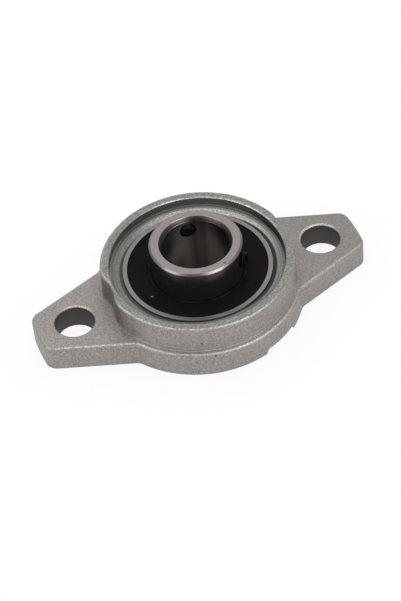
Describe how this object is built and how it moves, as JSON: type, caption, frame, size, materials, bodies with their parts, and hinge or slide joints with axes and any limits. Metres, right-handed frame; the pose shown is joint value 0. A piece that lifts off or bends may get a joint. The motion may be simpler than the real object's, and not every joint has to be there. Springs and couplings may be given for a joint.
{
  "type": "two-bolt flange bearing",
  "caption": "Rhombic cast flange housing with a sealed self-aligning ball bearing insert that is locked to a round shaft by set screws.",
  "frame": {"origin": "centre of the mounting face, on the shaft axis", "axes": "+X along the line of the bolt holes, +Z along the shaft away from the mounting face"},
  "size_m": [0.0624, 0.0374, 0.0146],
  "materials": {
    "cast_housing": "blasted die-cast zinc alloy, matt grey, worn bright at the edges",
    "ring_steel": "ground bearing steel, satin",
    "ball_steel": "polished bearing steel",
    "cage_steel": "pressed sheet steel",
    "core_steel": "phosphated sheet steel",
    "seal_rubber": "black nitrile rubber",
    "screw_steel": "black oxide alloy steel"
  },
  "bodies": {
    "housing": {"housing": "cast_housing"},
    "insert": {"outer_ring": "ring_steel", "front_seal_rubber": "seal_rubber", "front_seal_core": "core_steel", "rear_seal_rubber": "seal_rubber", "rear_seal_core": "core_steel"},
    "inner": {"inner_ring": "ring_steel"},
    "cage": {"cage_front": "cage_steel", "cage_rear": "cage_steel", "cage_rivets": "cage_steel"},
    "ball_1": {"ball_1": "ball_steel"},
    "ball_2": {"ball_2": "ball_steel"},
    "ball_3": {"ball_3": "ball_steel"},
    "ball_4": {"ball_4": "ball_steel"},
    "ball_5": {"ball_5": "ball_steel"},
    "ball_6": {"ball_6": "ball_steel"},
    "ball_7": {"ball_7": "ball_steel"},
    "ball_8": {"ball_8": "ball_steel"},
    "screw_1": {"set_screw_1": "screw_steel"},
    "screw_2": {"set_screw_2": "screw_steel"}
  },
  "joints": [
    {"name": "insert_tilt", "type": "hinge", "parent": "housing", "child": "insert", "pos_m": [0, 0, 0.0051], "axis": [1, 0, 0], "range_deg": [-3, 3]},
    {"name": "inner_ring_spin", "type": "hinge", "parent": "insert", "child": "inner", "pos_m": [0, 0, 0.0051], "axis": [0, 0, 1], "continuous": true},
    {"name": "cage_spin", "type": "hinge", "parent": "insert", "child": "cage", "pos_m": [0, 0, 0.0051], "axis": [0, 0, 1], "continuous": true},
    {"name": "ball_1_roll", "type": "hinge", "parent": "cage", "child": "ball_1", "pos_m": [0.01, 0, 0.0051], "axis": [0, 0, 1], "continuous": true},
    {"name": "ball_2_roll", "type": "hinge", "parent": "cage", "child": "ball_2", "pos_m": [0.00707, 0.00707, 0.0051], "axis": [0, 0, 1], "continuous": true},
    {"name": "ball_3_roll", "type": "hinge", "parent": "cage", "child": "ball_3", "pos_m": [0, 0.01, 0.0051], "axis": [0, 0, 1], "continuous": true},
    {"name": "ball_4_roll", "type": "hinge", "parent": "cage", "child": "ball_4", "pos_m": [-0.00707, 0.00707, 0.0051], "axis": [0, 0, 1], "continuous": true},
    {"name": "ball_5_roll", "type": "hinge", "parent": "cage", "child": "ball_5", "pos_m": [-0.01, 0, 0.0051], "axis": [0, 0, 1], "continuous": true},
    {"name": "ball_6_roll", "type": "hinge", "parent": "cage", "child": "ball_6", "pos_m": [-0.00707, -0.00707, 0.0051], "axis": [0, 0, 1], "continuous": true},
    {"name": "ball_7_roll", "type": "hinge", "parent": "cage", "child": "ball_7", "pos_m": [0, -0.01, 0.0051], "axis": [0, 0, 1], "continuous": true},
    {"name": "ball_8_roll", "type": "hinge", "parent": "cage", "child": "ball_8", "pos_m": [0.00707, -0.00707, 0.0051], "axis": [0, 0, 1], "continuous": true},
    {"name": "screw_1_feed", "type": "slide", "parent": "inner", "child": "screw_1", "axis": [0.1132, 0.9936, 0], "range_m": [-0.0006, 0.001]},
    {"name": "screw_2_feed", "type": "slide", "parent": "inner", "child": "screw_2", "axis": [0.8039, -0.5948, 0], "range_m": [-0.0006, 0.001]}
  ],
  "couplings": [
    {"joint": "cage_spin", "follows": "inner_ring_spin", "ratio": 0.38093},
    {"joint": "ball_1_roll", "follows": "inner_ring_spin", "ratio": -1.9804},
    {"joint": "ball_2_roll", "follows": "inner_ring_spin", "ratio": -1.9804},
    {"joint": "ball_3_roll", "follows": "inner_ring_spin", "ratio": -1.9804},
    {"joint": "ball_4_roll", "follows": "inner_ring_spin", "ratio": -1.9804},
    {"joint": "ball_5_roll", "follows": "inner_ring_spin", "ratio": -1.9804},
    {"joint": "ball_6_roll", "follows": "inner_ring_spin", "ratio": -1.9804},
    {"joint": "ball_7_roll", "follows": "inner_ring_spin", "ratio": -1.9804},
    {"joint": "ball_8_roll", "follows": "inner_ring_spin", "ratio": -1.9804}
  ]
}
